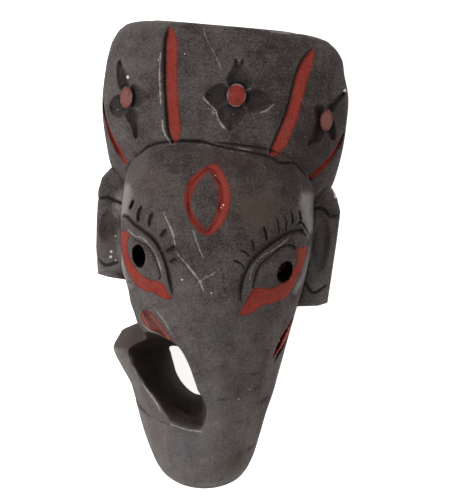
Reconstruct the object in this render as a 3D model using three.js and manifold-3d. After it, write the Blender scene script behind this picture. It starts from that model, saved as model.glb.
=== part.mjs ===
// Elephant-headed wall mask, carved from one block of wood, in millimetres.
// It lies on the flat rim of its back at z = 0: +Z comes out of the face, +Y runs to the top of the
// crown and +X to the viewer's right.
import * as THREE from "three";
import { mergeVertices } from "three/addons/utils/BufferGeometryUtils.js";
import Module from "manifold-3d";

const wasm = await Module();
wasm.setup();

// Driving dimensions
const crownTop = 150.3;
const trunkEnd = -150.3;
const faceDepth = 91.5;
const crownDepth = 60;
const aboveFront = 100;
const belowBack = -6;
const pupilBack = 20;
const cutProud = 2.5; // how far a chisel cut's solid stands out of the surface
const frontFacets = 22;
const hollowFacets = 12;
const ringStep = 7;
const chiselStep = 4;

// The head and trunk: rows of y, left edge, right edge, front height, height of the upright side
// and roundness of the front, from the end of the trunk up to the forehead under the crown.
const headRows = [
  [trunkEnd, -12, 19, 42, 20, 2],
  [-149, -18, 24.5, 49, 20, 2],
  [-145, -23.5, 30.8, 58, 22, 2.1],
  [-139, -27.8, 34.8, 65, 24, 2.1],
  [-130, -32, 38, 71, 25, 2.1],
  [-116, -37.6, 40.8, 77, 26, 2.1],
  [-97, -43.9, 44.2, 82, 26, 2.1],
  [-80, -49.8, 48, 85, 26, 2.1],
  [-70, -56.3, 49.5, 86.2, 26, 2.1],
  [-60, -61.8, 51.2, 87.5, 26, 2.1],
  [-50, -61.8, 52.8, 88.5, 26, 2.1],
  [-30, -60, 56, 90, 28, 2.1],
  [0, -60, 60.8, faceDepth, 30, 2.15],
  [40, -60.4, 61.4, 87.5, 30, 2.4],
  [62, -57, 57.5, 81, 30, 2.5],
  [74, -50, 51, 71, 27, 2.5],
  [80, -44, 45, 61.5, 24, 2.4],
  [84, -36, 36, 50, 22, 2.2],
  [88, -20, 20, 36, 20, 2],
];
const crownRows = [
  [42, -64, 66, 50, 12, 2.2],
  [54, -72.2, 72, 56, 12, 2.2],
  [70, -77, 75.6, crownDepth, 12, 2.2],
  [96, -81.2, 77.5, 58, 12, 2.2],
  [114, -80.6, 76.6, 55, 12, 2.2],
  [126, -79.2, 73, 52, 12, 2.2],
  [138, -75.6, 69, 49, 12, 2.2],
  [144, -71.2, 63.2, 47.8, 12, 2.2],
  [147.5, -65.5, 56.5, 47, 12, 2.2],
  [149.4, -57, 46, 46.4, 12, 2.2],
  [crownTop, -49, 34, 46, 12, 2.2],
];
// The gouged-out back: rows of y, left, right, height above the back, upright side, roundness.
const hollowRows = [
  [-48, -12, 12, 6, -2, 2],
  [-42, -25, 25, 30, 4, 2],
  [-30, -38, 38, 52, 8, 2],
  [-15, -45, 45, 66, 10, 2.1],
  [0, -48, 49, 73, 12, 2.2],
  [40, -48, 49, 68, 12, 2.2],
  [60, -49, 50, 52, 12, 2.2],
  [80, -56, 56, 42, 8, 2.2],
  [100, -58, 57, 38, 6, 2.2],
  [112, -50, 49, 28, 2, 2.2],
  [118, -38, 37, 8, -2, 2],
];

// Ears: outlines seen from the front, and the height of their two faces.
const earBack = 4;
const earFront = 32;
const earRound = 4;
const leftEar = [
  [-54, 55], [-71, 55.3], [-76.3, 48.8], [-78.3, 40], [-78.2, 20],
  [-77.6, 2], [-75.4, -15.5], [-68, -17], [-54, -17.8],
];
const rightEar = [
  [54, 57], [69.6, 56], [75.6, 49.5], [78.8, 40.5], [78.4, 20],
  [77.6, 0], [76.8, -20.2], [70.5, -22.8], [54, -25],
];
// A shallow oval bowl in each ear, and grooves across their flats.
const earBowls = [
  { x: -69.5, y: 17, half: [6.5, 11], depth: 3 },
  { x: 68.5, y: 18, half: [6, 19], depth: 4.5 },
];
const earGrooves = [
  { walk: [[-80, 33.5], [-68, 35], [-58, 32]], width: 3, depth: 2.2 },
  { walk: [[-75.5, -5], [-69.5, -8.5], [-63, -4]], width: 3.2, depth: 2 },
  { walk: [[60, 41.5], [69, 43.5], [80, 40]], width: 3, depth: 2.2 },
  { walk: [[61, -8], [66.5, -13.5], [74, -8.5]], width: 3.2, depth: 2 },
];
const earGrooveStep = 3.5;
const earGrooveProud = 1;

// The gap inside the curled trunk: the same walk round it at the back and at the front.
const gapBackHeight = 0;
const gapFrontHeight = 75;
const gapBack = [
  [-27, -70], [-25.5, -75], [-23.5, -81], [-20.5, -89], [-14.5, -97], [-7, -102], [-1, -102],
  [-1, -95], [-3, -84], [-8, -76], [-15, -71.5], [-20, -69.5], [-24, -69],
];
const gapFront = [
  [-47.5, -48], [-45.6, -56], [-39.5, -66.5], [-29.5, -76.5], [-14, -86], [-2, -91], [3, -89],
  [1, -75], [-3, -63], [-8, -52.5], [-14, -45], [-22, -40.5], [-33.5, -38],
];
// The wider mouth of the gap at its lower end.
const ledgeBackHeight = 60;
const ledgeFrontHeight = 83;
const ledgeBack = [
  [-32, -70], [-26, -76], [-20, -80.8], [-14, -85], [-6, -88], [0.6, -88.6],
  [1.2, -86], [1, -79], [-2, -66], [-12, -60], [-24, -62],
];
const ledgeFront = [
  [-32.5, -74], [-27, -80.5], [-22.5, -86.5], [-14.2, -94.3], [-5, -95.4], [3.9, -96],
  [6.4, -91], [6.8, -81], [-2, -66], [-12, -60.5], [-24, -62],
];

// The notch between the cheek and the trunk's tip: down the cheek, then out along the tip's end.
const notchBack = [
  [-90, 20], [-66, 8], [-62, -13], [-58, -22], [-56, -31], [-54, -37], [-51.5, -43.5],
  [-49.5, -49.5], [-47.5, -52.3], [-53, -55.8], [-60, -59.8], [-90, -80],
];
const notchFront = [
  [-90, 30], [-58.5, 20], [-53.5, 0], [-48, -13], [-46.2, -20], [-43.3, -26.5], [-40.5, -33],
  [-36.5, -37.5], [-34, -45.3], [-45.5, -51.2], [-56, -57], [-90, -82],
];

// Eyes: the place of each pupil, the groove over the lid, the lid's inner edge and the eyeball's
// lower edge. The band below slopes up from there to the cheek over bandWidth.
const pupilHalf = [5.4, 7.3];
const pupilHeight = 74;
const pupilLean = 0.09; // how far the hole moves outward for each millimetre forward
const eyes = {
  right: {
    side: 1,
    pupil: [46.7, 7.3],
    groove: [
      [20.5, -15.5], [21.2, -6], [22.7, 6], [26.5, 15.5], [32.8, 22.5],
      [40.3, 28.4], [47.5, 32.4], [53.3, 33], [58.5, 27],
    ],
    lid: [
      [22.8, -15], [26, -8], [28.3, -1.5], [30, 9], [33.9, 17],
      [40.5, 22.7], [46.7, 24.3], [51.8, 21.3], [55, 15],
    ],
    under: [[25, -13], [29.5, -3.5], [37.7, -1.9], [45.5, -0.5], [51.2, 5.5], [54, 13], [55.5, 20]],
    bandWidth: 9,
    lashes: [
      [[17.8, 15.2], [23.7, 10]], [[19.6, 22.3], [26, 17.3]], [[24.6, 29.6], [28.3, 20.2]],
      [[32, 36], [34.5, 27.6]], [[38.3, 41.6], [41.3, 30.3]], [[43.3, 43.3], [45.4, 32.4]],
      [[46.9, 44.8], [48.8, 36]], [[52.2, 44], [53.9, 37.5]],
    ],
    lashWidth: 1,
  },
  left: {
    side: -1,
    pupil: [-43.2, 9],
    groove: [
      [-17, -12.5], [-21.5, -1], [-24.8, 8.5], [-29.5, 16.8], [-36, 23],
      [-42, 25.2], [-47.5, 27.6], [-53, 30], [-58, 28.5],
    ],
    lid: [
      [-19.5, -11.5], [-25.8, -2], [-31, 8.5], [-36, 14.8],
      [-41.5, 18.2], [-47, 20.6], [-52, 22], [-56, 20],
    ],
    under: [
      [-22.5, -8.5], [-27.5, -3.8], [-34.8, -3.2], [-41.7, 0.2], [-47.5, 5.9], [-50.6, 13.3], [-51.3, 20.5],
    ],
    bandWidth: 6.8,
    lashes: [
      [[-48.2, 43], [-50.6, 32.5]], [[-41.7, 41], [-44.6, 29]], [[-31.2, 38.5], [-37.5, 27]],
      [[-25.4, 30], [-30.8, 22]], [[-18.2, 20.8], [-26, 15.6]], [[-17.6, 13.6], [-23.6, 8.6]],
    ],
    lashWidth: 1.9,
  },
};

// How each cut of an eye rises: widths towards the brow and towards the eyeball, and depth.
const lidGroove = { over: 4, under: 1.6, depth: 2.6 };
const lidCut = { over: 1.2, under: 8, depth: 3.2 };
const bandCut = { over: 1, depth: 2.8, sharp: 0.12 };
const lashCut = { depth: 1.6, sharp: 0.4, step: 3 };

// The third eye on the forehead: a ring groove that rises inside and outside its deepest line.
const thirdEye = {
  x: -3.9,
  y: 49.4,
  half: [10.6, 17.4],
  lean: 0.04,
  waist: 0.12,
  inside: 2.2,
  outside: 3.6,
  depth: 2.6,
  sides: 28,
};

// Flowers of the crown: place, then each petal's direction in degrees and reach.
const flowers = [
  { x: 7.1, y: 109.8, disc: [5.4, 6.6], petals: [[92, 23], [182, 20], [268, 22.5], [352, 23]] },
  { x: -61.2, y: 101.8, disc: [4.6, 6.6], petals: [[116, 23], [214, 17], [293, 25], [10, 16]] },
  { x: 63.8, y: 98.7, disc: [4.2, 6.4], petals: [[48, 23], [140, 14], [229, 20.5], [312, 15]] },
];
const petalDepth = 4.5;
const petalHalfWidth = 9;
const petalFloor = 0.45; // the floor's share of the petal's width
const petalLift = 3.5;
const petalDroop = 400; // the petals follow the crown's curve, as a circle of half this radius
const petalStations = [0, 0.2, 0.4, 0.6, 0.8, 0.93, 1];
const discSides = 14;
const discFlare = 1.12;

// Painted grooves of the crown: walk, width and depth.
const stripes = [
  {
    walk: [[-38, 147], [-38.8, 138], [-38, 126], [-36.4, 111], [-33.8, 95], [-31.6, 84], [-28.4, 77.5]],
    left: 8,
    right: 2.4,
    depth: 3.2,
  },
  {
    walk: [[50.5, 142], [45.4, 135], [42, 126], [40.2, 115], [37.8, 101], [34.4, 90], [29.6, 76]],
    left: 8.2,
    right: 1.6,
    depth: 3,
  },
  { walk: [[-80, 100], [-77.5, 88], [-71, 76], [-64, 66.5], [-58, 59.5]], left: 3.6, right: 2.2, depth: 3 },
  { walk: [[76, 91], [71.5, 80.5], [66, 72.5], [55.5, 61.5]], left: 2.8, right: 3.4, depth: 3 },
];
// Mouth slits on the cheeks
const slits = [
  { walk: [[-39, -21.5], [-30, -29], [-17, -39.2]], left: 4.2, right: 4.2, depth: 4.5 },
  { walk: [[55.4, -28], [49, -39], [44, -52.5]], left: 3, right: 3, depth: 4.5 },
  { walk: [[53, -42], [48.5, -49.5], [45, -57]], left: 2.4, right: 2.4, depth: 3.5 },
];

// A smooth reading of rows at one y, by cubic pieces through them.
function readRows(rows, y) {
  const last = rows.length - 1;
  const at = THREE.MathUtils.clamp(y, rows[0][0], rows[last][0]);
  let i = 0;
  while (i < last - 1 && rows[i + 1][0] < at) i += 1;
  const slope = (k, c) => (rows[k + 1][c] - rows[k][c]) / (rows[k + 1][0] - rows[k][0]);
  const tangent = (k, c) => {
    if (k === 0) return slope(0, c);
    if (k === last) return slope(last - 1, c);
    const before = rows[k][0] - rows[k - 1][0];
    const after = rows[k + 1][0] - rows[k][0];
    return (slope(k - 1, c) * after + slope(k, c) * before) / (before + after);
  };
  const span = rows[i + 1][0] - rows[i][0];
  const t = (at - rows[i][0]) / span;
  return rows[i].slice(1).map((value, n) => {
    const c = n + 1;
    const startPart = (1 + 2 * t) * (1 - t) ** 2 * value + t * (1 - t) ** 2 * span * tangent(i, c);
    const endPart = t * t * (3 - 2 * t) * rows[i + 1][c] + t * t * (t - 1) * span * tangent(i + 1, c);
    return startPart + endPart;
  });
}

function frontHeight(rows, x, y) {
  if (y < rows[0][0] || y > rows[rows.length - 1][0]) return -Infinity;
  const [left, right, front, side, round] = readRows(rows, y);
  const across = Math.abs((x - (left + right) / 2) / ((right - left) / 2));
  if (across >= 1) return -Infinity;
  return side + (front - side) * (1 - across ** round) ** (1 / round);
}

const surfaceHeight = (x, y) => Math.max(frontHeight(headRows, x, y), frontHeight(crownRows, x, y));

// The point of the front over x, y, and the direction that leaves it squarely.
function surfacePoint(x, y) {
  const reach = 1.5;
  const z = surfaceHeight(x, y);
  const height = (a, b) => {
    const h = surfaceHeight(a, b);
    return Number.isFinite(h) ? h : z - 2 * reach;
  };
  const normal = new THREE.Vector3(
    height(x - reach, y) - height(x + reach, y),
    height(x, y - reach) - height(x, y + reach),
    2 * reach,
  ).normalize();
  return { point: new THREE.Vector3(x, y, z), normal };
}

// A closed mesh of points and triangles as a solid, turned to face out.
function toSolid(points, triangles) {
  const vertProperties = new Float32Array(points.flatMap((p) => [p.x, p.y, p.z]));
  const build = (list) =>
    new wasm.Manifold(new wasm.Mesh({ numProp: 3, vertProperties, triVerts: new Uint32Array(list.flat()) }));
  const made = build(triangles);
  return made.volume() > 0 ? made : build(triangles.map(([a, b, c]) => [a, c, b]));
}

// Rings with the same number of points, skinned one to the next and closed at both ends.
function skin(rings) {
  const count = rings[0].length;
  const points = rings.flat();
  const triangles = [];
  for (let r = 0; r < rings.length - 1; r += 1)
    for (let i = 0; i < count; i += 1) {
      const j = (i + 1) % count;
      const [a, b, c, d] = [r * count + i, r * count + j, (r + 1) * count + j, (r + 1) * count + i];
      triangles.push([a, b, c], [a, c, d]);
    }
  [rings[0], rings[rings.length - 1]].forEach((ring, end) => {
    const middle = ring.reduce((sum, p) => sum.add(p), new THREE.Vector3()).divideScalar(count);
    const first = end === 0 ? 0 : (rings.length - 1) * count;
    points.push(middle);
    for (let i = 0; i < count; i += 1) {
      const j = (i + 1) % count;
      if (end === 0) triangles.push([points.length - 1, first + j, first + i]);
      else triangles.push([points.length - 1, first + i, first + j]);
    }
  });
  return toSolid(points, triangles);
}

// A three.js geometry as a solid.
function geometrySolid(geometry) {
  geometry.deleteAttribute("normal");
  geometry.deleteAttribute("uv");
  const merged = mergeVertices(geometry, 1e-3);
  const position = merged.getAttribute("position");
  const vertex = (_, i) => new THREE.Vector3().fromBufferAttribute(position, i);
  const points = Array.from({ length: position.count }, vertex);
  const triangles = [];
  for (let i = 0; i < merged.index.count; i += 3)
    triangles.push([merged.index.getX(i), merged.index.getX(i + 1), merged.index.getX(i + 2)]);
  return toSolid(points, triangles);
}

// One cross ring: the flat back, upright sides and a rounded front.
function crossRing(rows, y, back, facets) {
  const [left, right, front, side, round] = readRows(rows, y);
  const middle = (left + right) / 2;
  const half = (right - left) / 2;
  const ring = [new THREE.Vector3(right, y, back), new THREE.Vector3(left, y, back)];
  for (let i = 0; i <= facets; i += 1) {
    const angle = (Math.PI * i) / facets;
    const cosine = Math.cos(angle);
    const x = middle - half * Math.sign(cosine) * Math.abs(cosine) ** (2 / round);
    ring.push(new THREE.Vector3(x, y, side + (front - side) * Math.sin(angle) ** (2 / round)));
  }
  return ring;
}

// A body that runs along Y, with rings closer together where its rows are.
function bodyAlongY(rows, back, facets) {
  const rings = [];
  for (let i = 0; i < rows.length - 1; i += 1) {
    const [from, to] = [rows[i][0], rows[i + 1][0]];
    const steps = Math.max(1, Math.round((to - from) / ringStep));
    for (let s = 0; s < steps; s += 1)
      rings.push(crossRing(rows, THREE.MathUtils.lerp(from, to, s / steps), back, facets));
  }
  rings.push(crossRing(rows, rows[rows.length - 1][0], back, facets));
  return skin(rings);
}

// A straight-walled cut between an outline at one height and the same walk at another.
function ruledCut(lowWalk, lowHeight, highWalk, highHeight, from, to) {
  const ringAt = (z) => {
    const t = (z - lowHeight) / (highHeight - lowHeight);
    return lowWalk.map(([x, y], i) => {
      const [hx, hy] = highWalk[i];
      return new THREE.Vector3(THREE.MathUtils.lerp(x, hx, t), THREE.MathUtils.lerp(y, hy, t), z);
    });
  };
  return skin([ringAt(from), ringAt(to)]);
}

// Evenly spaced places along a smooth walk through x, y points.
function walkPoints(walk, step) {
  const through = walk.map(([x, y]) => new THREE.Vector3(x, y, 0));
  const curve = new THREE.CatmullRomCurve3(through, false, "centripetal");
  const count = Math.max(3, Math.round(curve.getLength() / step));
  return curve.getSpacedPoints(count);
}

// A chisel cut over the front: from its deepest line it rises by left and right widths, and it
// narrows to a point at its ends. sharp is the share of its length that each point takes.
function chiselCut({ walk, left, right, depth, step = chiselStep, sharp = 0.2 }) {
  const places = walkPoints(walk, step);
  const rise = (share) => Math.sqrt(Math.min(1, Math.max(0.003, share / sharp)));
  const rings = places.map((place, i) => {
    const t = i / (places.length - 1);
    const before = places[Math.max(0, i - 1)];
    const after = places[Math.min(places.length - 1, i + 1)];
    const size = rise(t) * rise(1 - t);
    const { point, normal } = surfacePoint(place.x, place.y);
    const along = new THREE.Vector3().subVectors(after, before).projectOnPlane(normal).normalize();
    const across = new THREE.Vector3().crossVectors(normal, along);
    const grow = 1 + cutProud / (depth * size + 0.4);
    const edge = (width) =>
      point.clone().addScaledVector(across, width * size * grow).addScaledVector(normal, cutProud);
    return [point.clone().addScaledVector(normal, -depth * size - 0.02), edge(-right), edge(left)];
  });
  return skin(rings);
}

// A closed chisel ring, such as the one round the third eye.
function chiselRing({ x, y, half, lean, waist, inside, outside, depth, sides }) {
  const rings = Array.from({ length: sides }, (_, i) => {
    const angle = (2 * Math.PI * i) / sides;
    const narrow = 1 - waist * Math.abs(Math.sin(angle)) ** 3;
    const px = x + half[0] * Math.cos(angle) * narrow - lean * half[1] * Math.sin(angle);
    const py = y + half[1] * Math.sin(angle);
    const { point, normal } = surfacePoint(px, py);
    const outward = new THREE.Vector3(Math.cos(angle) / half[0], Math.sin(angle) / half[1], 0)
      .projectOnPlane(normal).normalize();
    const spread = 1 + cutProud / depth;
    return [
      point.clone().addScaledVector(normal, -depth),
      point.clone().addScaledVector(outward, outside * spread).addScaledVector(normal, cutProud),
      point.clone().addScaledVector(outward, -inside * spread).addScaledVector(normal, cutProud),
    ];
  });
  const points = rings.flat();
  const triangles = [];
  for (let r = 0; r < sides; r += 1)
    for (let i = 0; i < 3; i += 1) {
      const next = (r + 1) % sides;
      const j = (i + 1) % 3;
      triangles.push([r * 3 + i, r * 3 + j, next * 3 + j], [r * 3 + i, next * 3 + j, next * 3 + i]);
    }
  return toSolid(points, triangles);
}

// A flower of four gouged petals round a disc that stays level with the crown.
function flowerCut({ x, y, disc, petals }) {
  const { point, normal } = surfacePoint(x, y);
  const across = new THREE.Vector3(1, 0, 0).projectOnPlane(normal).normalize();
  const upward = new THREE.Vector3().crossVectors(normal, across);
  const place = (a, b, c) =>
    point.clone().addScaledVector(across, a).addScaledVector(upward, b).addScaledVector(normal, c);
  const leaf = ([degrees, reach]) => {
    const angle = THREE.MathUtils.degToRad(degrees);
    const rings = petalStations.map((t) => {
      const width = petalHalfWidth * Math.max(0.02, Math.sin(Math.PI * Math.min(1, 0.25 + 0.75 * t)) ** 0.9);
      const deep = petalDepth * Math.sqrt(Math.max(0.002, 1 - t));
      const at = (side, level) =>
        place(
          reach * t * Math.cos(angle) - side * Math.sin(angle),
          reach * t * Math.sin(angle) + side * Math.cos(angle),
          level - (reach * t) ** 2 / petalDroop,
        );
      const half = [
        [width * petalFloor, -deep],
        [width, 0],
        [width * 1.05, petalLift],
      ];
      const mirrored = half.map(([side, level]) => at(-side, level));
      return [...mirrored, ...half.map(([side, level]) => at(side, level)).reverse()];
    });
    return skin(rings);
  };
  const discRing = (level, share) =>
    Array.from({ length: discSides }, (_, i) => {
      const angle = (2 * Math.PI * i) / discSides;
      return place(disc[0] * share * Math.cos(angle), disc[1] * share * Math.sin(angle), level);
    });
  const gouged = petals.map(leaf).reduce((all, one) => all.add(one));
  const core = skin([discRing(-petalDepth - 2, discFlare), discRing(0, 1), discRing(petalLift + 4.5, 1)]);
  return gouged.subtract(core);
}

// An oval hole through the front, straight but leaning inward behind the face.
function pupilCut({ side, pupil }) {
  const sides = 16;
  const ring = (z) =>
    Array.from({ length: sides }, (_, i) => {
      const angle = (2 * Math.PI * i) / sides;
      const x = pupil[0] + pupilHalf[0] * Math.cos(angle) + pupilLean * side * (z - pupilHeight);
      return new THREE.Vector3(x, pupil[1] + pupilHalf[1] * Math.sin(angle), z);
    });
  return skin([ring(pupilBack), ring(aboveFront)]);
}

// A shallow oval bowl in an ear, deepest in its middle.
function bowlCut({ x, y, half, depth }) {
  const sides = 18;
  const levels = [[-depth, 0.35], [-depth * 0.75, 0.7], [0, 1], [2, 1.08]];
  const ring = ([level, share]) =>
    Array.from({ length: sides }, (_, i) => {
      const angle = (2 * Math.PI * i) / sides;
      const across = half[0] * share * Math.cos(angle);
      const along = half[1] * share * Math.sin(angle);
      return new THREE.Vector3(x + across, y + along, earFront + level);
    });
  return skin(levels.map(ring));
}

// A groove across the flat of an ear.
function earGrooveCut({ walk, width, depth }) {
  const places = walkPoints(walk, earGrooveStep);
  const rings = places.map((place, i) => {
    const before = places[Math.max(0, i - 1)];
    const after = places[Math.min(places.length - 1, i + 1)];
    const across = new THREE.Vector3(before.y - after.y, after.x - before.x, 0).normalize();
    const end = i === 0 || i === places.length - 1;
    const size = end ? 0.15 : 1;
    const edge = (sign) =>
      place.clone().setZ(earFront + earGrooveProud).addScaledVector(across, (sign * size * width) / 2);
    return [place.clone().setZ(earFront - depth * size), edge(-1), edge(1)];
  });
  return skin(rings);
}

function earSolid(outline) {
  const shape = new THREE.Shape(outline.map(([x, y]) => new THREE.Vector2(x, y)));
  const geometry = new THREE.ExtrudeGeometry(shape, {
    depth: earFront - earBack - earRound,
    bevelThickness: earRound,
    bevelSize: earRound,
    bevelOffset: -earRound,
    bevelSegments: 2,
    curveSegments: 1,
  });
  geometry.translate(0, 0, earBack);
  return geometrySolid(geometry);
}

// The cuts of one eye. Its walks run outward, so the side of the brow depends on the eye.
function eyeCuts(eye) {
  const rises = (over, under) => (eye.side > 0 ? { left: over, right: under } : { left: under, right: over });
  const lash = (walk) => chiselCut({ walk, left: eye.lashWidth, right: eye.lashWidth, ...lashCut });
  return [
    chiselCut({ walk: eye.groove, ...rises(lidGroove.over, lidGroove.under), depth: lidGroove.depth }),
    chiselCut({ walk: eye.lid, ...rises(lidCut.over, lidCut.under), depth: lidCut.depth }),
    chiselCut({ ...bandCut, walk: eye.under, ...rises(bandCut.over, eye.bandWidth) }),
    pupilCut(eye),
    ...eye.lashes.map(lash),
  ];
}

function maskSolid() {
  const head = bodyAlongY(headRows, 0, frontFacets);
  const notch = ruledCut(notchBack, gapBackHeight, notchFront, gapFrontHeight, belowBack, aboveFront);
  const crown = bodyAlongY(crownRows, 0, frontFacets);
  const block = head.subtract(notch).add(crown).add(earSolid(leftEar)).add(earSolid(rightEar));
  const cuts = [
    bodyAlongY(hollowRows, belowBack, hollowFacets),
    ruledCut(gapBack, gapBackHeight, gapFront, gapFrontHeight, belowBack, aboveFront),
    ruledCut(ledgeBack, ledgeBackHeight, ledgeFront, ledgeFrontHeight, ledgeBackHeight, aboveFront),
    chiselRing(thirdEye),
    ...stripes.map(chiselCut),
    ...slits.map(chiselCut),
    ...flowers.map(flowerCut),
    ...eyeCuts(eyes.left),
    ...eyeCuts(eyes.right),
    ...earBowls.map(bowlCut),
    ...earGrooves.map(earGrooveCut),
  ];
  return cuts.reduce((whole, cut) => whole.subtract(cut), block);
}

function woodMesh(name, solid) {
  const made = solid.getMesh();
  const geometry = new THREE.BufferGeometry();
  const positions = new Float32Array(made.numVert * 3);
  for (let i = 0; i < made.numVert; i += 1)
    positions.set(made.vertProperties.subarray(i * made.numProp, i * made.numProp + 3), i * 3);
  geometry.setAttribute("position", new THREE.BufferAttribute(positions, 3));
  geometry.setIndex(new THREE.BufferAttribute(made.triVerts, 1));
  geometry.computeVertexNormals();
  const stainedWood = new THREE.MeshStandardMaterial({ color: 0x4a4643, roughness: 0.7, metalness: 0 });
  const mesh = new THREE.Mesh(geometry, stainedWood);
  mesh.name = name;
  return mesh;
}

const wallMask = new THREE.Group();
wallMask.add(woodMesh("mask", maskSolid()));

export default wallMask;
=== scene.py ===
import math

import bpy
import numpy as np
import openvdb
from mathutils import Matrix, Vector


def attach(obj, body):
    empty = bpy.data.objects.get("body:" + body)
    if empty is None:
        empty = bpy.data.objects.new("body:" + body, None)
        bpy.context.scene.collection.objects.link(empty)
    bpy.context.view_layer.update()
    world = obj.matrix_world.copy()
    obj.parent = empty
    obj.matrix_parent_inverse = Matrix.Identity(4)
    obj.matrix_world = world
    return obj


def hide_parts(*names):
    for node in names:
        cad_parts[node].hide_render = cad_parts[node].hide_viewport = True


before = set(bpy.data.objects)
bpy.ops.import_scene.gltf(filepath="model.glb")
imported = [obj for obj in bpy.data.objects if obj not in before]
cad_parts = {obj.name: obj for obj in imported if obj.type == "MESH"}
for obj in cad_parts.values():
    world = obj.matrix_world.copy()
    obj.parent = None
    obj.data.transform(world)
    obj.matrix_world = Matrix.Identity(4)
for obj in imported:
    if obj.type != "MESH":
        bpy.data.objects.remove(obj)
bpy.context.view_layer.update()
mm = 0.001

# The camera looks down on the lying mask, a little from the side of the crown, and is rolled.
camera = {
    "place": (36.405, 141.795, 651.082),
    "right": (0.99496, 0.08525, -0.05288),
    "up": (-0.09433, 0.97443, -0.20395),
    "lens": 70.5,
    "sensor": 36.0,
}


def addObject(name, data):
    item = bpy.data.objects.new(name, data)
    bpy.context.scene.collection.objects.link(item)
    return item


def makeCamera():
    data = bpy.data.cameras.new("viewCamera")
    data.lens = camera["lens"]
    data.sensor_width = camera["sensor"]
    data.clip_start = 0.01
    item = addObject("viewCamera", data)
    right, up = Vector(camera["right"]).normalized(), Vector(camera["up"]).normalized()
    turn = Matrix((right, up, right.cross(up))).transposed().to_4x4()
    item.matrix_world = Matrix.Translation(Vector(camera["place"]) * mm) @ turn
    bpy.context.scene.camera = item


makeCamera()

# The wooden block. Rows of y, left edge, right edge, front height, height of the upright side and
# roundness, in millimetres, from the end of the trunk up to the crown.
block = {
    "pitch": 0.6,
    "head": [
        (-150.3, -12, 19, 42, 20, 2), (-149, -18, 24.5, 49, 20, 2), (-145, -23.5, 30.8, 58, 22, 2.1),
        (-139, -27.8, 34.8, 65, 24, 2.1), (-130, -32, 38, 71, 25, 2.1), (-116, -37.6, 40.8, 77, 26, 2.1),
        (-97, -43.9, 44.2, 82, 26, 2.1), (-80, -49.8, 48, 85, 26, 2.1), (-70, -56.3, 49.5, 86.2, 26, 2.1),
        (-60, -61.8, 51.2, 87.5, 26, 2.1), (-50, -61.8, 52.8, 88.5, 26, 2.1), (-30, -60, 56, 90, 28, 2.1),
        (0, -60, 60.8, 91.5, 30, 2.15), (40, -60.4, 61.4, 87.5, 30, 2.4), (62, -57, 57.5, 81, 30, 2.5),
        (74, -50, 51, 71, 27, 2.5), (80, -44, 45, 61.5, 24, 2.4), (84, -36, 36, 50, 22, 2.2),
        (88, -20, 20, 36, 20, 2),
    ],
    "crown": [
        (42, -64, 66, 50, 12, 2.2), (54, -72.2, 72, 56, 12, 2.2), (70, -77, 75.6, 60, 12, 2.2),
        (96, -81.2, 77.5, 58, 12, 2.2), (114, -80.6, 76.6, 55, 12, 2.2), (126, -79.2, 73, 52, 12, 2.2),
        (138, -75.6, 69, 49, 12, 2.2), (144, -71.2, 63.2, 47.8, 12, 2.2), (147.5, -65.5, 56.5, 47, 12, 2.2),
        (149.4, -57, 46, 46.4, 12, 2.2), (150.3, -49, 34, 46, 12, 2.2),
    ],
    "hollow": [
        (-48, -12, 12, 6, -2, 2), (-42, -25, 25, 30, 4, 2), (-30, -38, 38, 52, 8, 2),
        (-15, -45, 45, 66, 10, 2.1), (0, -48, 49, 73, 12, 2.2), (40, -48, 49, 68, 12, 2.2),
        (60, -49, 50, 52, 12, 2.2), (80, -56, 56, 42, 8, 2.2), (100, -58, 57, 38, 6, 2.2),
        (112, -50, 49, 28, 2, 2.2), (118, -38, 37, 8, -2, 2),
    ],
    "hollowBack": -6.0,
    "across": 30.0,  # rough half width, which turns shares of the body's section into millimetres
    "sideFall": 4.0,  # how steeply the front's height falls beyond the sides
    "pastEnds": -20.0,  # and its height beyond both ends
    "leastTilt": 0.35,  # cuts go no deeper than this allows where the front is steep
}
far = 9.0  # outside all that is cut or painted
farBelow = -99.0
fieldBand = 3.0  # the field is kept within this of the surface

# Flats left by the chisel over the front: where the first is, their spacing, how their rows sway and
# how far each is cut below the curve. None is on low or steep ground.
flats = {
    "first": (4, 8), "spacing": (17.0, 21.0), "sway": 5, "swayX": (2.3, 0.13), "swayY": (1.7, 0.09),
    "lowest": 24, "leastTilt": 0.3, "inset": 0.9, "reach": 17.0, "most": 1.5,
}

ears = {
    "back": 4.0,
    "front": 32.0,
    "round": 4.0,
    "bowlPower": 2.4,
    "left": [(-54, 55), (-71, 55.3), (-76.3, 48.8), (-78.3, 40), (-78.2, 20), (-77.6, 2), (-75.4, -15.5),
             (-68, -17), (-54, -17.8)],
    "right": [(54, 57), (69.6, 56), (75.6, 49.5), (78.8, 40.5), (78.4, 20), (77.6, 0), (76.8, -20.2),
              (70.5, -22.8), (54, -25)],
    "bowls": [((-69.5, 17), (6.5, 11), 3.0), ((68.5, 18), (6, 19), 4.5)],
    "grooves": [
        ([(-80, 33.5), (-72, 36.2), (-66, 34.6), (-58, 32)], 2.1, 2.2),
        ([(-75.5, -5), (-69.5, -8.5), (-63, -6)], 2.4, 2.0),
        ([(60, 41.5), (67, 42), (72, 38), (80, 39)], 2.1, 2.0),
        ([(61, -8), (66.5, -13.5), (74, -8.5)], 2.2, 1.6),
    ],
}

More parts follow.
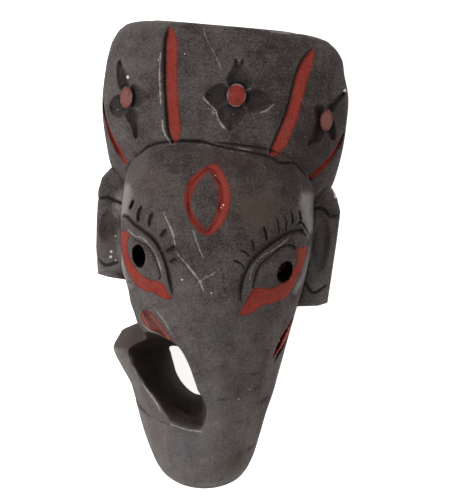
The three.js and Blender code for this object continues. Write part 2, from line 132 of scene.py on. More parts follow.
# The gap inside the curled trunk, its wider mouth, and the notch between cheek and tip: each is a
# walk at one height and the same walk at another. They are worked out this far beyond their walks.
trunkGap = {
    "spread": 14.0,
    "gap": (
        0, [(-27, -70), (-25.5, -75), (-23.5, -81), (-20.5, -89), (-14.5, -97), (-7, -102), (-1, -102),
            (-1, -95), (-3, -84), (-8, -76), (-15, -71.5), (-20, -69.5), (-24, -69)],
        75, [(-47.5, -48), (-45.6, -56), (-39.5, -66.5), (-29.5, -76.5), (-14, -86), (-2, -91), (3, -89),
             (1, -75), (-3, -63), (-8, -52.5), (-14, -45), (-22, -40.5), (-33.5, -38)],
    ),
    "mouth": (
        60, [(-32, -70), (-26, -76), (-20, -80.8), (-14, -85), (-6, -88), (0.6, -88.6), (1.2, -86),
             (1, -79), (-2, -66), (-12, -60), (-24, -62)],
        83, [(-32.5, -74), (-27, -80.5), (-22.5, -86.5), (-14.2, -94.3), (-5, -95.4), (3.9, -96),
             (6.4, -91), (6.8, -81), (-2, -66), (-12, -60.5), (-24, -62)],
    ),
    "notch": (
        0, [(-90, 20), (-66, 8), (-62, -13), (-58, -22), (-56, -31), (-54, -37), (-51.5, -43.5),
            (-49.5, -49.5), (-47.5, -52.3), (-53, -55.8), (-60, -59.8), (-90, -80)],
        75, [(-90, 30), (-58.5, 20), (-53.5, 0), (-48, -13), (-46.2, -20), (-43.3, -26.5), (-40.5, -33),
             (-36.5, -37.5), (-34, -45.3), (-45.5, -51.2), (-56, -57), (-90, -82)],
    ),
}

# How far a stroke is worked out on each side of its walk, and past its ends, the offset given to
# places beyond that, and the least share of its depth.
strokes = {"reach": 14.0, "pastEnds": 1.5, "beyond": 99.0, "least": 0.003}
# Strokes over the front: walk, rise to the left and right of the deepest line, depth, and the
# share of the length in which each end runs out.
crownStrokes = [
    ([(-38, 147), (-38.8, 138), (-38, 126), (-36.4, 111), (-33.8, 95), (-31.6, 84), (-28.4, 77.5)],
     8.4, 2.4, 3.2, 0.12),
    ([(50.5, 142), (45.4, 135), (42, 126), (40.2, 115), (37.8, 101), (34.4, 90), (29.6, 76)],
     9.0, 1.6, 3.0, 0.16),
    ([(-80, 100), (-77.5, 88), (-71, 76), (-64, 66.5), (-58, 59.5)], 4.0, 2.2, 3.0, 0.2),
    ([(76, 91), (71.5, 80.5), (66, 72.5), (55.5, 61.5)], 2.8, 3.6, 3.0, 0.2),
]
# How far the red reaches to the left and right of each deepest line, as shares of those rises.
crownPaint = [(0.92, 0.05), (0.9, 0.05), (0.95, 0.9), (0.9, 0.5)]
cheekSlits = [
    ([(-38, -23), (-31.5, -29), (-26, -33.2), (-18.5, -39)], 5.0, 3.4, 4.5, 0.2),
    ([(55.4, -28), (49, -39), (44, -52.5)], 3.0, 3.0, 4.5, 0.2),
    ([(53, -42), (48.5, -49.5), (45, -57)], 2.4, 2.4, 3.5, 0.2),
]
# Each eye: a groove over the lid, an eyeball sunk inside its outline, a painted band that slopes up
# to its outer edge, and lashes. The edge is this part of the band's outline, counted back from its
# end. The brow strokes of the left eye are broad, with one steep side.
leftEye = {
    "pupil": (-43.2, 9), "lean": -0.09,
    "groove": ([(-18.2, -12), (-21.8, -1), (-24.6, 7.6), (-29, 16.4), (-34.4, 22.4), (-41, 25.4),
                (-47.5, 27.6), (-53, 30), (-58, 28.5)], 1.4, 3.8, 3.0, 0.16),
    "ball": [(-27.6, -0.6), (-28.6, 3.8), (-32.2, 11.2), (-37, 17), (-42.5, 18.5), (-46.5, 18.8),
             (-50.4, 20), (-52.4, 14.9), (-52.1, 9.3), (-50, 5.2), (-45.4, 1.3), (-40.3, -2),
             (-34.9, -3.2), (-30, -2.6)],
    "band": [(-58.8, 19.5), (-50.6, 20.4), (-52.4, 14.9), (-52.1, 9.3), (-50, 5.2), (-45.4, 1.3),
             (-40.3, -2), (-34.9, -3.2), (-29.8, -2.8), (-26.2, -2.8), (-22.4, -7.3), (-19, -11.4),
             (-22.7, -12.3), (-27, -11.8), (-31.5, -10.4), (-36.7, -10.8), (-42.2, -9.7), (-46.5, -7),
             (-51.3, -2.7), (-54.8, 3.4), (-58, 8.5), (-59.4, 14)],
    "edge": (1, 12),
    "lashes": [[(-49.3, 43), (-52.2, 35.5)], [(-42.8, 41.6), (-45.2, 36), (-44.8, 28.4)],
               [(-35, 39), (-37.2, 34.6), (-37.4, 28)], [(-26.2, 30.4), (-30, 24.2)],
               [(-19.6, 21.2), (-26, 16.2)], [(-18.4, 14), (-23.4, 10)]],
    "lashRise": (5.2, 1.1),
}
rightEye = {
    "pupil": (46.7, 7.3), "lean": 0.09,
    "groove": ([(23.6, -14), (21.6, -5), (21.6, 0), (22.8, 7), (26.5, 15.5), (32.8, 22.5), (40.3, 28.4),
                (47.5, 32.2), (52.6, 32.2), (58.8, 26)], 4.0, 1.4, 2.8, 0.16),
    "ball": [(28.2, -1.6), (28.4, 4.8), (29.6, 10.3), (32, 14.6), (36, 18), (39.8, 21.8), (42.4, 23.8),
             (46, 25), (49.4, 24), (51.8, 20.6), (52.8, 16.5), (52.7, 10.8), (50.8, 7.5), (48.6, 3.1),
             (44.3, -0.5), (38.5, -2.3), (33.1, -1.3)],
    "band": [(59.2, 20.7), (54.3, 21.8), (51.8, 20.6), (52.8, 16.5), (52.7, 10.8), (50.7, 7.6),
             (48.6, 3.1), (44.3, -0.5), (38.5, -2.3), (33.1, -1.3), (28.5, -1.4), (26.2, -4.8),
             (24.1, -10.4), (22.1, -14.7), (22.4, -18.3), (26.6, -17.6), (31, -15), (34.1, -12.8),
             (40.6, -11.6), (45.8, -10.3), (51, -7.2), (52.9, -3.2), (55.5, 3.3), (58.2, 11.7)],
    "edge": (0, 11),
    "lashes": [[(23.7, 29.4), (26.2, 25.6), (26.9, 20)], [(18.2, 22.4), (22.1, 20.6), (25.2, 17.6)],
               [(14.8, 16), (19.4, 14.2), (23, 9.6)], [(30.7, 37), (32.6, 33), (33.8, 27.6)],
               [(37.4, 42.3), (39.5, 38), (40.7, 30)], [(42.2, 43.6), (44.4, 38), (44.2, 31.4)],
               [(46, 46), (47.7, 41.5), (48, 37)], [(51.1, 46), (52.5, 41), (52.6, 37.6)],
               [(49.2, 35.6), (52.7, 37.8), (56, 34), (59.6, 27)]],
    "lashRise": (1.0, 1.0),
}
eyeball = {
    "depth": 3.1, "crest": 0.3, "swell": 6.5, "power": 1.7, "wall": 0.9, "bandDepth": 2.9, "bandRim": 0.3,
    "least": 0.01,
}
pupilHole = {"half": (5.4, 7.3), "height": 74.0, "back": 20.0}
lash = {"depth": 2.6, "sharp": 0.22}
thirdEye = {
    "outer": [(-2.3, 69.9), (1, 69.1), (6.8, 62.3), (10.1, 53.7), (9.7, 44.1), (5.7, 34.1), (-1.4, 29.1),
              (-9.4, 33.2), (-15.2, 41.2), (-17.4, 49.2), (-16.1, 57.9), (-10.4, 65.3)],
    "inner": [(-5.2, 64.2), (-4, 65.2), (-2.9, 64.1), (1.6, 57.4), (3, 49.3), (1.6, 40), (-1.2, 33.6),
              (-2, 32.2), (-3.2, 33.1), (-8.3, 38), (-12.3, 45.2), (-12, 53.6), (-8.6, 60.4)],
    "depth": 2.5,
    "deepest": 0.62,
    "least": 0.1,
}
# Fine cracks, the ridge inside the third eye and the crease under the crown: walk, rise to the left
# and right, depth, run-out.
fineCuts = [
    ([(-51.3, 66.4), (-43.8, 74.4), (-38.2, 77.1), (-29.4, 78.7), (-14.3, 80.7), (0.3, 79.1), (17.3, 77.6),
      (32, 75.2), (36.3, 72.5), (45.8, 72.1), (49.8, 68.4), (54.1, 64.1)], 1.4, 1.8, 1.3, 0.08),
    ([(-1.3, 63.6), (1.2, 61.3), (3.8, 58.2)], 0.7, 0.7, 1.6, 0.3),
    ([(-14.3, 47.4), (-14.2, 44.5), (-12.9, 39.8)], 0.6, 0.6, 1.2, 0.3),
    ([(4.6, 49), (4.4, 46.6), (4, 44)], 0.6, 0.6, 1.6, 0.3),
    ([(-0.6, 35.8), (1.1, 39.7), (2.6, 43.6)], 0.8, 3.0, 0.8, 0.3),
    ([(-6.2, 43), (-4.2, 38.8), (-2, 34.4)], 2.6, 0.5, 0.5, 0.3),
    ([(-3.6, 52), (-3, 47), (-1.6, 42)], 0.5, 0.9, 0.4, 0.4),
]
# The crown's flowers: disc, its half widths, and the outline of each petal.
flowerList = [
    ((7.1, 109.9), (5.6, 6.7), [
        [(4.4, 132), (2.8, 126), (0.6, 121), (0, 117), (3, 112), (11, 112), (16.3, 117), (14.7, 123.6),
         (11.2, 128), (9.2, 131.8), (6.9, 130.2)],
        [(-12.3, 108.1), (-10.4, 111.9), (-6.6, 115), (-2, 116.7), (3, 114), (3, 106), (0, 101.6),
         (-4.2, 100.6), (-8.3, 103.6)],
        [(5.6, 88.3), (2.2, 90.4), (-0.8, 93.3), (-3.4, 98), (-4.2, 101.2), (2, 106), (11, 106),
         (15, 101.8), (14.3, 99.4), (12, 95.5), (8.6, 91.2)],
        [(9, 112), (12.4, 113.4), (19.6, 114.4), (23.9, 113.2), (27.5, 110.7), (29.9, 107.7),
         (27.3, 104), (22.2, 101), (16.9, 100.2), (12, 103)]]),
    ((-61.6, 101.9), (4.2, 6.4), [
        [(-67.9, 124.4), (-65, 120.3), (-62.2, 117.2), (-60.2, 112.7), (-59.6, 106), (-64, 104),
         (-66.6, 107), (-68.4, 111), (-69.7, 121.8)],
        [(-61, 107), (-58.3, 110.6), (-54.6, 110.2), (-48.7, 107.4), (-45.4, 104.2), (-48.1, 100.4),
         (-52.2, 96.8), (-57.4, 95), (-60, 98)],
        [(-62, 93), (-56.4, 84.7), (-53.4, 77.4), (-51.9, 78), (-51.9, 89.3), (-53.3, 95), (-58, 97)],
        [(-63, 104), (-69.7, 101.6), (-72.7, 97.5), (-72.8, 93.3), (-70.1, 90), (-66.2, 88.2),
         (-62, 90.4), (-59.6, 94)]]),
    ((63.4, 98.7), (3.9, 6.3), [
        [(54.3, 103.4), (54.2, 106.6), (56.7, 108.2), (61, 107.4), (62, 102), (59.8, 98), (57, 98.4)],
        [(62, 106.4), (66.2, 111.6), (70.2, 115.2), (73.3, 116.8), (73.9, 114.9), (72.2, 112),
         (70.2, 109), (67.6, 105.6), (65, 102)],
        [(58, 100.4), (55.6, 95.4), (54.1, 89.9), (52.9, 85.1), (52.9, 82), (54.9, 83.4), (60.3, 84.9),
         (62.7, 88), (63, 93), (61, 98)],
        [(62.6, 94), (64.7, 88.6), (67.9, 86), (69.7, 86), (70.4, 90.2), (69.3, 94.5), (67.4, 99.3),
         (65, 97)]]),
]
flowers = {
    "depth": 4.4,
    "scoop": 3.6,
    "discWall": 0.6,
    "shade": (1.1, 20, 0.3),  # at the disc's edge, how far from it none is left, and the least
}
# The dark stain that cuts hold for each millimetre of depth, and what is taken off it. On the
# stripes' steep walls and in the petals it is partly painted shade.
stainHeld = {"stripe": 1.4, "lid": 1.2, "lidLess": 0.6, "lash": 1.4, "lashLess": 0.9, "petal": 0.5}
# Painted places that a stroke alone doesn't give, as outlines seen from the front. The first slit's
# paint has faded this far in from its edge.
slitFaded = 1.0
slitPaint = [
    [(-36.3, -22.7), (-31, -23.7), (-27.2, -27), (-23.4, -29.6), (-20.3, -34), (-17.2, -37.6),
     (-19.6, -39.1), (-24.4, -36.2), (-27.4, -34.5), (-32.6, -33.7), (-35.7, -32.1), (-38.3, -28.7),
     (-38.9, -25.3)],
    [(55.5, -29.5), (49.9, -33.1), (45.7, -41.9), (44.7, -51.7), (49.3, -47.8), (53.7, -40.7)],
]
# Pale rubbed lines, with the strength of each: the old worn edge outside the left eye, lines on the
# nose and crown, the crests of the lids, rims of stripes and petals, and the lip of the gap. On the
# crests, rims and lip they are partly chalky wear and partly painted highlight where light catches.
lineReach = 1.5
rubbedLines = [
    ([(-28.7, 38.9), (-23.2, 30.3), (-20.8, 24.4), (-18.5, 16.8), (-11.8, 10.7), (-4.4, 2.5),
      (-0.9, -3.2)], 0.8),
    ([(-9.7, 30.7), (-6.9, 24.4), (-2.5, 15.8)], 0.6),
    ([(-3.3, 1.6), (2.3, 5.6), (6.9, 9.7)], 0.6),
    ([(-16.2, 146.6), (-15.3, 143.7), (-12, 138.1), (-7.4, 131.4), (-3.7, 125.2)], 0.5),
    ([(-52, 23.3), (-46.6, 21.3), (-41.1, 21.5), (-36.5, 19.2), (-32.5, 15.3), (-30, 10.3),
      (-27.5, 5.4)], 0.6),
    ([(25.7, 4.8), (26.5, 10.3), (29, 15.7), (33.2, 19.7), (37.5, 22.3), (41.2, 24.9), (46.2, 28.6)], 0.5),
    ([(-41.6, 130.6), (-41.2, 120.7), (-40.1, 110.8), (-38.6, 101)], 0.8),
    ([(-36.9, 91), (-35.4, 84.6), (-31, 78.6)], 0.7),
    ([(-12.6, 107), (-8.8, 103.2), (-4.6, 100), (-3.6, 97.4), (-1, 92.8), (2, 89.8)], 0.8),
    ([(29.6, 106), (27.3, 103.5), (22.2, 100.5)], 0.5),
    ([(-44.5, -53.3), (-41.6, -62.8), (-36.8, -69.2), (-32.1, -75.9), (-26.6, -81.3), (-23, -87)], 0.9),
    ([(-15, -94.6), (-5, -95.8), (3.9, -96.4)], 0.8),
    ([(-36.4, -32.4), (-31.8, -34.4), (-26, -36.4), (-19, -40.2)], 0.6),
    ([(-29, -21), (-24, -25.4), (-18, -33.6)], 0.6),
]
# Small pale chips down to the wood: place and radius.
chips = [
    (-26.7, 131.5, 0.45), (-42.8, 126.5, 0.4), (6, 98.2, 0.35), (-67.6, 93.4, 0.4), (-61.9, 114.3, 1.2),
    (6.3, 47.3, 0.6), (5.2, 45.6, 0.5), (-0.2, 63.4, 0.35), (3.8, -4.6, 0.5), (-14.1, 1.3, 0.6),
    (31.6, -68.8, 0.4), (25.4, -74.4, 0.5), (13.3, -89.4, 0.4), (33.4, -100.1, 0.4), (41.6, -87.7, 0.4),
    (-66.8, 1.2, 1.0), (-67, -2.4, 0.9), (-63.6, -4.6, 0.8), (-64.8, 11.4, 0.6), (75, 51, 1.6),
    (73.5, 117, 1.2),
]
# Steep side faces of the temples and cheeks, painted paler: a painted highlight for the light they
# catch.
bevels = [
    [(-67.2, 37.8), (-63.6, 42.5), (-54.6, 51), (-52.2, 49.2), (-51.6, 42.1), (-53.4, 34.3), (-57, 27),
     (-64.9, 24.5)],
    [(51.8, 55), (57, 54.4), (61, 40), (61.2, 28.4), (58.6, 27.8), (54.4, 38.1)],
    [(-62.6, 18), (-60.2, 14), (-58.6, 8.5), (-55.6, 3.4), (-52, -2.7), (-48.4, -7.6), (-44, -10.6),
     (-48, -13), (-56, -8), (-62.6, 2)],
    [(60.4, 20), (59.4, 11.7), (56.7, 3.3), (54.1, -3.2), (52.2, -7.2), (54.6, -9.6), (59, -2), (62.4, 10)],
]
# Places where the colour is paler or darker and browner or bluer than around them, partly the
# stain's own patches and partly painted light and shade: place, half widths, and what is added to
# the tone and to the warmth.
patches = [
    ((28, 46), (13, 11), 0.16, 0.8), ((10, 72), (40, 9), -0.1, 0.3), ((-41, 56), (10, 12), 0.02, 0.3),
    ((0, 52), (52, 24), 0.0, 0.3), ((-69, 18), (7, 12), -0.25, 0.0), ((27, -66), (7, 8), 0.06, 0.7),
    ((41, -88), (8, 26), -0.18, 0.6), ((70, 20), (10, 45), 0.26, 0.3),
    ((29, -122), (9, 13), -0.25, 0.6), ((-23, -108), (7, 16), 0.06, 0.5),
    ((22, -92), (6, 34), -0.16, 0.0), ((9, -76), (5, 26), 0.16, -0.3),
    ((-3, -108), (14, 14), 0.06, -0.5), ((10, -30), (14, 18), -0.04, -0.3),
    ((2, -152), (34, 7), -0.4, 0.2), ((-46, -44), (13, 8), -1.0, 0.8),
    ((-52, 132), (16, 16), 0.04, 0.0), ((70, -12), (9, 9), 0.2, -0.3),
    ((-70, -12), (10, 8), 0.25, -0.2),
]
# The lie of tone over the mask: at the trunk's left, what it loses to the right and up, between the
# two ends of each run, and on the ears, where it gains a little. The loss to the right and up is
# partly the stain's own and partly painted shade for light that comes from the left. Walls of the
# deep cuts, and the sides below the front, are darker and warmer, painted shade: from this depth,
# over how much of it, and by how much.
toneLie = {
    "start": 0.7, "right": (-60, 70, 0.25), "up": (-100, 30, 0.4), "ears": -0.06,
    "deep": (1.0, 5.0, 0.5), "deepWarm": 0.6,
}


def spaced(low, high):
    return np.arange(low, high + block["pitch"], block["pitch"])


gridX, gridY, gridZ = spaced(-84, 82), spaced(-153, 153), spaced(-2.4, 94.2)
flatX, flatY = np.meshgrid(gridX, gridY, indexing="ij")


# A smooth reading of rows at any y, by cubic pieces through them.
def readRows(rows, y):
    rows = np.array(rows, float)
    at, values = rows[:, 0], rows[:, 1:]
    spans = np.diff(at)[:, None]
    slopes = np.diff(values, axis=0) / spans
    tangents = np.vstack([slopes[:1], (slopes[:-1] * spans[1:] + slopes[1:] * spans[:-1])
                          / (spans[:-1] + spans[1:]), slopes[-1:]])
    clipped = np.clip(y, at[0], at[-1])
    i = np.clip(np.searchsorted(at, clipped, side="right") - 1, 0, len(at) - 2)
    span = spans[i]
    t = (clipped[..., None] - at[i][..., None]) / span
    first = (1 + 2 * t) * (1 - t) ** 2 * values[i] + t * (1 - t) ** 2 * span * tangents[i]
    second = t * t * (3 - 2 * t) * values[i + 1] + t * t * (t - 1) * span * tangents[i + 1]
    return np.moveaxis(first + second, -1, 0)


# How far points are outside a rounded body along Y, in rough millimetres. Inside is negative.
def bodyField(rows, x, y, z, back=farBelow):
    left, right, front, side, roundness = readRows(rows, y)
    across = np.abs((x - (left + right) / 2) / ((right - left) / 2))
    up = np.maximum(z - side, 0) / (front - side)
    value = ((across ** roundness + up ** roundness) ** (1 / roundness) - 1) * block["across"]
    ends = np.maximum(rows[0][0] - y, y - rows[-1][0])
    return np.maximum(np.maximum(value, ends), back - z)


# Height of a body's front over the flat grid. Beyond its sides it falls away steeply.
def frontHeight(rows):
    left, right, front, side, roundness = readRows(rows, flatY)
    half = (right - left) / 2
    across = np.abs(flatX - (left + right) / 2) / half
    dome = np.clip(1 - across ** roundness, 0, None) ** (1 / roundness)
    height = side + (front - side) * dome - block["sideFall"] * np.maximum(across - 1, 0) * half
    return np.where((flatY < rows[0][0]) | (flatY > rows[-1][0]), block["pastEnds"], height)


def smoothWalk(places, perSpan=12, closed=False):
    p = np.array(places, float)
    p = np.vstack([p[-1:], p, p[:2]]) if closed else np.vstack([2 * p[0] - p[1], p, 2 * p[-1] - p[-2]])
    t = (np.arange(perSpan) / perSpan)[:, None]
    pieces = []
    for a, b, c, d in zip(p, p[1:], p[2:], p[3:]):
        ab, bc, cd = (math.sqrt(max(math.dist(u, v), 1e-6)) for u, v in ((a, b), (b, c), (c, d)))
        leave = (c - b) + bc * ((b - a) / ab - (c - a) / (ab + bc))
        arrive = (c - b) + bc * ((d - c) / cd - (d - b) / (bc + cd))
        pieces.append((1 + 2 * t) * (1 - t) ** 2 * b + t * (1 - t) ** 2 * leave
                      + t * t * (3 - 2 * t) * c + t * t * (t - 1) * arrive)
    return np.vstack(pieces) if closed else np.vstack(pieces + [p[-2:-1]])


# Squared distance to a straight piece that starts at a place and goes on by dx and dy.
def pieceAway(x, y, ax, ay, dx, dy):
    t = np.clip(((x - ax) * dx + (y - ay) * dy) / max(dx * dx + dy * dy, 1e-9), 0, 1)
    return (x - ax - t * dx) ** 2 + (y - ay - t * dy) ** 2


# Signed distance to a closed outline, negative inside.
def outlineDistance(outline, x, y):
    best = np.full(x.shape, 1e9)
    inside = np.zeros(x.shape, bool)
    for (ax, ay), (bx, by) in zip(outline, np.roll(outline, -1, axis=0)):
        dx, dy = bx - ax, by - ay
        best = np.minimum(best, pieceAway(x, y, ax, ay, dx, dy))
        if ay != by:
            inside ^= ((ay > y) != (by > y)) & (x < dx * (y - ay) / dy + ax)
    return np.where(inside, -1, 1) * np.sqrt(best)


# Reads a flat grid at points by straight lines between its nodes.
def sampleFlat(field, x, y):
    i = np.clip((x - gridX[0]) / block["pitch"], 0, len(gridX) - 1.001)
    j = np.clip((y - gridY[0]) / block["pitch"], 0, len(gridY) - 1.001)
    a, b = i.astype(int), j.astype(int)
    u, v = i - a, j - b
    if field.ndim == 3:
        u, v = u[..., None], v[..., None]
    return (field[a, b] * (1 - u) * (1 - v) + field[a + 1, b] * u * (1 - v)
            + field[a, b + 1] * (1 - u) * v + field[a + 1, b + 1] * u * v)


baseHeight = np.maximum(frontHeight(block["head"]), frontHeight(block["crown"]))


def frontNormals(height):
    slopeX, slopeY = np.gradient(height, block["pitch"])
    normals = np.stack([-slopeX, -slopeY, np.ones_like(height)], -1)
    return normals / np.linalg.norm(normals, axis=-1, keepdims=True)


baseNormals = frontNormals(baseHeight)


# For each node of the flat grid near a walk over the front: how far it lies to the walk's left,
# and how far along it is, from 0 to 1.
def alongWalk(walk):
    places = smoothWalk(walk)
    line = np.column_stack([places, sampleFlat(baseHeight, places[:, 0], places[:, 1])])
    normals = sampleFlat(baseNormals, places[:, 0], places[:, 1])
    along = np.gradient(line, axis=0)
    along -= normals * np.sum(along * normals, axis=1, keepdims=True)
    along /= np.linalg.norm(along, axis=1, keepdims=True)
    leftward = np.cross(normals, along)
    length = np.concatenate([[0], np.cumsum(np.linalg.norm(np.diff(line, axis=0), axis=1))])
    low, high = places.min(0) - strokes["reach"], places.max(0) + strokes["reach"]
    near = (flatX > low[0]) & (flatX < high[0]) & (flatY > low[1]) & (flatY < high[1])
    points = np.column_stack([flatX[near], flatY[near], baseHeight[near]])
    nearest = np.argmin(((points[:, None, :2] - line[None, :, :2]) ** 2).sum(-1), axis=1)
    offset = np.full(flatX.shape, strokes["beyond"])
    share = np.zeros(flatX.shape)
    offset[near] = np.sum((points - line[nearest]) * leftward[nearest], axis=1)
    past = np.abs(np.sum((points - line[nearest]) * along[nearest], axis=1))
    offset[near] = np.where(past > strokes["pastEnds"], strokes["beyond"], offset[near])
    share[near] = length[nearest] / length[-1]
    return offset, share


# How much of a stroke's size is there, along it: each end runs out over a share of its length.
def runOut(share, sharp):
    rise = [np.sqrt(np.clip(part / sharp, strokes["least"], 1)) for part in (share, 1 - share)]
    return rise[0] * rise[1]


# Depth of a chisel stroke below the uncut front.
def strokeDepth(walk, left, right, depth, sharp):
    offset, share = alongWalk(walk)
    size = runOut(share, sharp)
    return np.clip(depth * size - np.abs(offset) * depth / np.where(offset > 0, left, right), 0, None)


# Distance to an open walk, with the sign of the side it lies on.
def walkOffset(walk, x, y):
    best = np.full(x.shape, 1e9)
    side = np.ones(x.shape)
    for (ax, ay), (bx, by) in zip(walk, walk[1:]):
        dx, dy = bx - ax, by - ay
        away = pieceAway(x, y, ax, ay, dx, dy)
        side = np.where(away < best, np.where(dx * (y - ay) > dy * (x - ax), 1, -1), side)
        best = np.minimum(best, away)
    return np.sqrt(best) * side


def outlineInside(outline):
    return -outlineDistance(smoothWalk(outline, 5, True), flatX, flatY)


# Each flat is a plane a little below the curve, so neighbours meet in a faint edge.
def flatsDepth():
    depth = np.zeros(flatX.shape)
    onHead = frontHeight(block["head"]) >= frontHeight(block["crown"])
    (firstX, firstY), (stepX, stepY) = flats["first"], flats["spacing"]
    (rowX, alongX), (rowY, alongY) = flats["swayX"], flats["swayY"]
    for row, y in enumerate(np.arange(gridY[0] + firstY, gridY[-1], stepY)):
        for x in np.arange(gridX[0] + firstX, gridX[-1], stepX):
            px = np.array(x + flats["sway"] * math.sin(rowX * row + alongX * x))
            py = np.array(y + flats["sway"] * math.sin(rowY * row + alongY * x))
            height, normal = sampleFlat(baseHeight, px, py), sampleFlat(baseNormals, px, py)
            if height < flats["lowest"] or normal[2] < flats["leastTilt"]:
                continue
            near = (np.abs(flatX - px) < flats["reach"]) & (np.abs(flatY - py) < flats["reach"])
            near &= onHead == (sampleFlat(onHead.astype(float), px, py) > 0.5)
            above = ((flatX[near] - px) * normal[0] + (flatY[near] - py) * normal[1]
                     + (baseHeight[near] - height) * normal[2])
            depth[near] = np.maximum(depth[near], np.clip(flats["inset"] + above, 0, flats["most"]))
    return depth


# A flower: scooped petals with steep walls round a disc that keeps the height of the crown. Gives
# their depth, how far inside the disc a place is, and the depth as the stain has it, which is partly
# stain and partly painted shade, darkest by the disc where its shadow falls.
def flowerDepth(place, half, petals):
    depth = np.zeros(flatX.shape)
    for petal in petals:
        inside = outlineInside(petal)
        depth = np.maximum(depth, flowers["depth"] * np.sqrt(np.clip(inside / flowers["scoop"], 0, 1)))
    discInside = (1 - np.hypot((flatX - place[0]) / half[0], (flatY - place[1]) / half[1])) * min(half)
    atDisc, fade, least = flowers["shade"]
    shade = depth * np.clip(atDisc + discInside / fade, least, 1)
    return depth * np.clip(-discInside / flowers["discWall"], 0, 1), discInside, shade


# The sunk eyeball swells towards its middle, and the band slopes up from it to the cheek.
def eyeDepth(eye):
    ball, band = outlineInside(eye["ball"]), outlineInside(eye["band"])
    outer = [eye["band"][-place] for place in range(*eye["edge"])]
    edge = np.abs(walkOffset(smoothWalk(outer, 5), flatX, flatY))
    swell = np.clip(ball / eyeball["swell"], 0, 1)
    crest, rim = eyeball["crest"], eyeball["bandRim"]
    sunk = crest + (eyeball["depth"] - crest) * (1 - swell) ** eyeball["power"]
    sunk = sunk * np.clip(1 + ball / eyeball["wall"], 0, 1)
    share = edge / (edge + np.maximum(-ball, 0) + eyeball["least"])
    sloped = eyeball["bandDepth"] * share * np.clip((rim + band) / (2 * rim), 0, 1)
    return np.maximum(sunk, sloped), band


# The ring round the third eye is a groove, deepest nearer to its inner edge.
def ringDepth():
    outer, inner = outlineInside(thirdEye["outer"]), -outlineInside(thirdEye["inner"])
    share = np.clip(outer / np.maximum(outer + inner, thirdEye["least"]), 0, 1)
    deepest = thirdEye["deepest"]
    profile = np.minimum(share / deepest, (1 - share) / (1 - deepest))
    return np.where(outer > 0, thirdEye["depth"] * np.clip(profile, 0, 1), 0), np.minimum(outer, inner)


print("cutting the front")
# Flat grids over the front: depth cut away, dark stain held together with painted shade, and how
# far inside the paint, which is below nothing outside it.
front = {"carved": flatsDepth(), "stained": np.zeros(flatX.shape), "paint": np.full(flatX.shape, -far)}


# Keeps the greater at each place: what is there, or what is laid.
def lay(**grids):
    for name, values in grids.items():
        front[name] = np.maximum(front[name], values)


for stroke, reach in zip(crownStrokes, crownPaint):
    depth = strokeDepth(*stroke)
    offset, share = alongWalk(stroke[0])
    size = runOut(share, stroke[4])
    toLeft, toRight = reach[0] * stroke[1] * size, reach[1] * stroke[2] * size
    # the steep unpainted wall beside the red is darkened: painted shade
    lay(carved=depth, paint=np.minimum(toLeft - offset, offset + toRight),
        stained=np.where(offset < -toRight, stainHeld["stripe"] * depth, 0))
for stroke in cheekSlits:
    lay(carved=strokeDepth(*stroke))
slitInside = [outlineInside(outline) for outline in slitPaint]
lay(paint=np.maximum(*slitInside))
for eye in (leftEye, rightEye):
    sunk, band = eyeDepth(eye)
    groove = strokeDepth(*eye["groove"])
    lay(carved=np.maximum(sunk, groove), paint=band,
        stained=stainHeld["lid"] * groove - stainHeld["lidLess"])
    for walk in eye["lashes"]:
        cut = strokeDepth(walk, *eye["lashRise"], lash["depth"], lash["sharp"])
        lay(carved=cut, stained=stainHeld["lash"] * cut - stainHeld["lashLess"])
front["faded"] = slitInside[0] - slitFaded
for count, (place, half, petals) in enumerate(flowerList):
    depth, discInside, shade = flowerDepth(place, half, petals)
    # petals: dark stain with painted shade, darkest by the disc
    lay(carved=depth, stained=stainHeld["petal"] * shade, paint=discInside)
    if count > 0:  # the two small discs have faded
        lay(faded=discInside)
grooved, ringInside = ringDepth()
lay(carved=grooved, paint=ringInside)
for stroke in fineCuts:
    depth = strokeDepth(*stroke)
    front["carved"] = front["carved"] + depth
    lay(stained=depth)
lowered = front["carved"] / np.maximum(baseNormals[..., 2], block["leastTilt"])
front["bevel"] = np.max([outlineInside(outline) for outline in bevels], axis=0)

earLowered = np.zeros(flatX.shape)
for centre, half, depth in ears["bowls"]:
    ratio = np.hypot((flatX - centre[0]) / half[0], (flatY - centre[1]) / half[1])
    earLowered = np.maximum(earLowered, depth * np.clip(1 - ratio ** ears["bowlPower"], 0, 1))
for walk, half, depth in ears["grooves"]:
    away = np.abs(walkOffset(smoothWalk(walk), flatX, flatY))
    earLowered = np.maximum(earLowered, depth * np.cos(np.clip(away / half, 0, 1) * math.pi / 2) ** 2)


# An extruded outline with rounded rims.
def earField(outline, z):
    edge = outlineDistance(np.array(outline, float), flatX, flatY)[..., None] + ears["round"]
    height = np.maximum(z + earLowered[..., None] - ears["front"], ears["back"] - z) + ears["round"]
    outside = np.hypot(np.maximum(edge, 0), np.maximum(height, 0))
    return outside + np.minimum(np.maximum(edge, height), 0) - ears["round"]


# A straight-walled cut, from the walk at one height to the same walk at another.
def ruledField(lowHeight, lowWalk, highHeight, highWalk, fromHeight=farBelow):
    low, high = smoothWalk(lowWalk, 4, True), smoothWalk(highWalk, 4, True)
    field = np.full((len(gridX), len(gridY), len(gridZ)), far, np.float32)
    both = np.vstack([low, high])
    least, most = both.min(0) - trunkGap["spread"], both.max(0) + trunkGap["spread"]
    part = np.ix_((gridX > least[0]) & (gridX < most[0]), (gridY > least[1]) & (gridY < most[1]))
    for k, z in enumerate(gridZ):
        t = (z - lowHeight) / (highHeight - lowHeight)
        distance = outlineDistance(low + (high - low) * t, flatX[part], flatY[part])
        field[part[0], part[1], k] = np.maximum(distance, fromHeight - z)
    return field


def pupilField(eye, x, y, z):
    centre = eye["pupil"][0] + eye["lean"] * (z - pupilHole["height"])
    ratio = np.hypot((x - centre) / pupilHole["half"][0], (y - eye["pupil"][1]) / pupilHole["half"][1])
    return np.maximum((ratio - 1) * pupilHole["half"][0], pupilHole["back"] - z)


